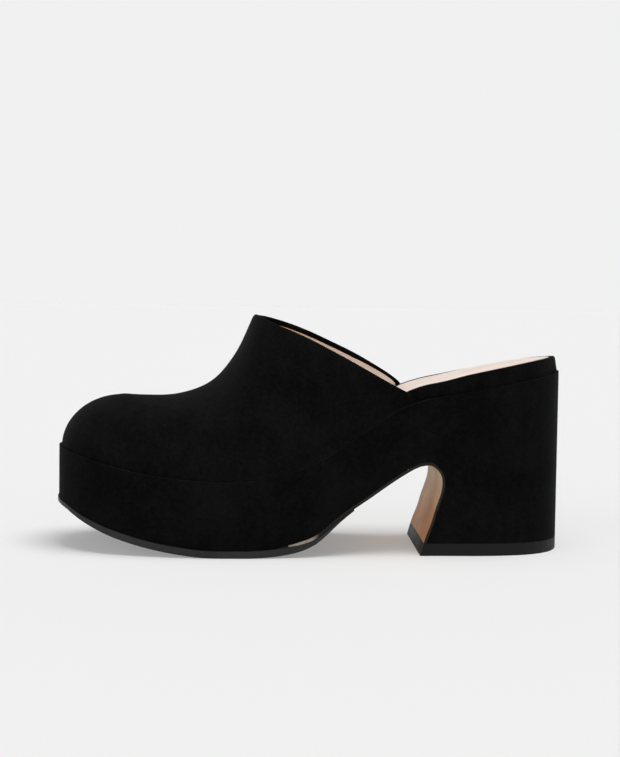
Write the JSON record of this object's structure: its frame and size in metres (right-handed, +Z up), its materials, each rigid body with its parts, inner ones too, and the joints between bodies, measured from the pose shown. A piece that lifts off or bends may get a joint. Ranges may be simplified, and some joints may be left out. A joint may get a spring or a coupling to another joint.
{
  "type": "platform mule shoe",
  "caption": "Left platform mule: open-backed suede upper on a wrapped platform with an arched waist and a high block heel, with a rubber sole.",
  "frame": {"origin": "middle of the shoe's bounding box in plan, on the floor that the shoe stands on", "axes": "+X along the shoe towards the heel, the toe at -X; +Y towards the inner (medial) side; +Z up"},
  "size_m": [0.2468, 0.0892, 0.1133],
  "materials": {
    "suede": "napped black suede, matt",
    "rubber": "satin black rubber",
    "tan_leather": "smooth tan leather, satin",
    "sock_leather": "smooth pale pinkish beige leather, matt"
  },
  "bodies": {
    "root": {"upper": "suede", "insole": "suede", "sock_lining": "sock_leather", "platform_block": "suede", "outsole": "rubber", "waist_leather": "tan_leather", "heel_tip": "rubber"}
  },
  "joints": []
}
